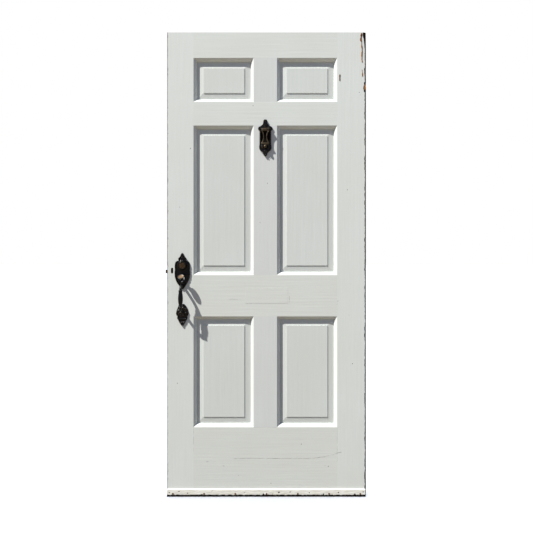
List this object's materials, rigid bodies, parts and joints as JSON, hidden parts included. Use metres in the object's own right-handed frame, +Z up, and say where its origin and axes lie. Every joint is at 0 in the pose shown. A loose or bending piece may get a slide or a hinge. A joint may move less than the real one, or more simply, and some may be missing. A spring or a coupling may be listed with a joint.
{
  "type": "panelled front door leaf",
  "caption": "Six-panel painted wooden front door leaf with raised panels, mortise lock, thumb-latch handle set, inside knob and turn, knocker and half hinges.",
  "frame": {"origin": "middle of the leaf's bottom edge, half way through its thickness, where it would meet the floor", "axes": "+Z up the door; -Y to the street side with the grip and knocker; -X to the lock edge, +X to the hinge edge"},
  "size_m": [0.9346, 0.1585, 2.1336],
  "materials": {
    "painted_frame": "old white gloss paint over softwood",
    "painted_panels": "old white gloss paint over softwood",
    "painted_strip": "flaking white paint over softwood",
    "rusty_nail": "rusted",
    "black_iron": "worn black lacquer",
    "steel_parts": "plain mill finish, dulled",
    "worn_brass": "worn and darkened"
  },
  "bodies": {
    "leaf": {"lock_stile": "painted_frame", "hinge_stile": "painted_frame", "top_rail": "painted_frame", "frieze_rail": "painted_frame", "lock_rail": "painted_frame", "bottom_rail": "painted_frame", "top_mullion": "painted_frame", "middle_mullion": "painted_frame", "bottom_mullion": "painted_frame", "panel_top_left": "painted_panels", "panel_top_right": "painted_panels", "panel_middle_left": "painted_panels", "panel_middle_right": "painted_panels", "panel_bottom_left": "painted_panels", "panel_bottom_right": "painted_panels", "hinge_edge_lipping": "painted_frame", "letter_slot_patch": "painted_frame", "bottom_strip": "painted_strip", "bottom_strip_nails": "rusty_nail", "hinge_leaf_top": "steel_parts", "hinge_leaf_middle": "steel_parts", "hinge_leaf_bottom": "steel_parts", "hinge_screws": "steel_parts", "lock_case": "steel_parts", "case_cap": "steel_parts", "case_screws": "steel_parts", "lock_front": "worn_brass", "front_screws": "worn_brass", "upper_escutcheon": "black_iron", "cylinder_collar": "black_iron", "lock_cylinder": "worn_brass", "thumb_pin": "steel_parts", "grip_handle": "black_iron", "lower_escutcheon": "black_iron", "outer_plate_screws": "black_iron", "inner_escutcheon": "black_iron", "inner_screws": "black_iron", "knocker_plate": "black_iron", "knocker_pin": "steel_parts", "strike_stud": "worn_brass", "knocker_bolts": "steel_parts"},
    "latch": {"latch_bolt": "worn_brass", "latch_spring": "steel_parts"},
    "dead": {"deadbolt": "worn_brass"},
    "knob": {"inner_knob": "black_iron", "knob_spindle": "steel_parts", "knob_set_screw": "steel_parts", "latch_hub": "steel_parts"},
    "thumb": {"thumb_press": "worn_brass"},
    "turn": {"turn_piece": "black_iron", "turn_spindle": "steel_parts", "deadbolt_cam": "steel_parts", "key_plug": "worn_brass"},
    "clapper": {"knocker_clapper": "black_iron"}
  },
  "joints": [
    {"name": "knob_turn", "type": "hinge", "parent": "leaf", "child": "knob", "pos_m": [-0.38735, 0.06, 1.012], "axis": [0, 1, 0], "range_deg": [0, 36], "stiffness_Nm_per_rad": 0.6, "springref_deg": -8.59},
    {"name": "latch_slide", "type": "slide", "parent": "leaf", "child": "latch", "axis": [1, 0, 0], "range_m": [0, 0.0122], "deforming": ["latch_spring"]},
    {"name": "thumb_press_tilt", "type": "hinge", "parent": "leaf", "child": "thumb", "pos_m": [-0.38735, -0.03225, 0.998], "axis": [1, 0, 0], "range_deg": [0, 14]},
    {"name": "deadbolt_slide", "type": "slide", "parent": "leaf", "child": "dead", "axis": [-1, 0, 0], "range_m": [0, 0.0254]},
    {"name": "deadbolt_turn", "type": "hinge", "parent": "leaf", "child": "turn", "pos_m": [-0.38735, 0.03, 1.062], "axis": [0, -1, 0], "range_deg": [0, 90]},
    {"name": "knocker_lift", "type": "hinge", "parent": "leaf", "child": "clapper", "pos_m": [-0.0057, -0.03725, 1.6866], "axis": [-1, 0, 0], "range_deg": [0, 90]}
  ],
  "couplings": [
    {"joint": "latch_slide", "follows": "knob_turn", "m_per_rad": 0.019417},
    {"joint": "thumb_press_tilt", "follows": "knob_turn", "ratio": 0.38889},
    {"joint": "deadbolt_turn", "follows": "deadbolt_slide", "rad_per_m": 61.842}
  ]
}
